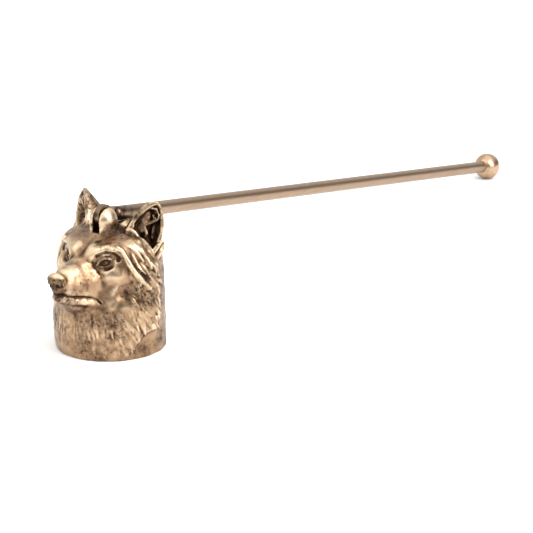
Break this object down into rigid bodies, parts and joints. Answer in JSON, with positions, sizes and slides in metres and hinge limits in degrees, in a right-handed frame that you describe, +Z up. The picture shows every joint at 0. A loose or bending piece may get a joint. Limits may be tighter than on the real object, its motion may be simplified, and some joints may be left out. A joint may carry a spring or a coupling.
{
  "type": "candle snuffer",
  "caption": "Hinged candle snuffer: a cast bell shaped as a wolf's head, pinned on its crown to a long round rod that ends in a ball",
  "frame": {"origin": "centre of the bell's rim, on the surface that the snuffer stands on", "axes": "+Z up along the bell, +Y towards the end of the handle, -Y towards the wolf's nose, +X to the wolf's left, along the hinge pin"},
  "size_m": [0.0328, 0.2443, 0.0422],
  "materials": {
    "antique_cast_brass": "cast brass with dark patina in the hollows, rubbed bright on the high places",
    "brushed_brass": "drawn rod, satin brushed along its length, patinated near the hinge",
    "polished_brass": "turned and lightly polished"
  },
  "bodies": {
    "bell": {"wolf_head_bell": "antique_cast_brass", "hinge_pin": "antique_cast_brass"},
    "handle": {"handle_rod": "brushed_brass", "end_ball": "polished_brass"}
  },
  "joints": [
    {"name": "handle_hinge", "type": "hinge", "parent": "bell", "child": "handle", "pos_m": [0, -0.0024, 0.038], "axis": [1, 0, 0], "range_deg": [0, 197.5]}
  ]
}
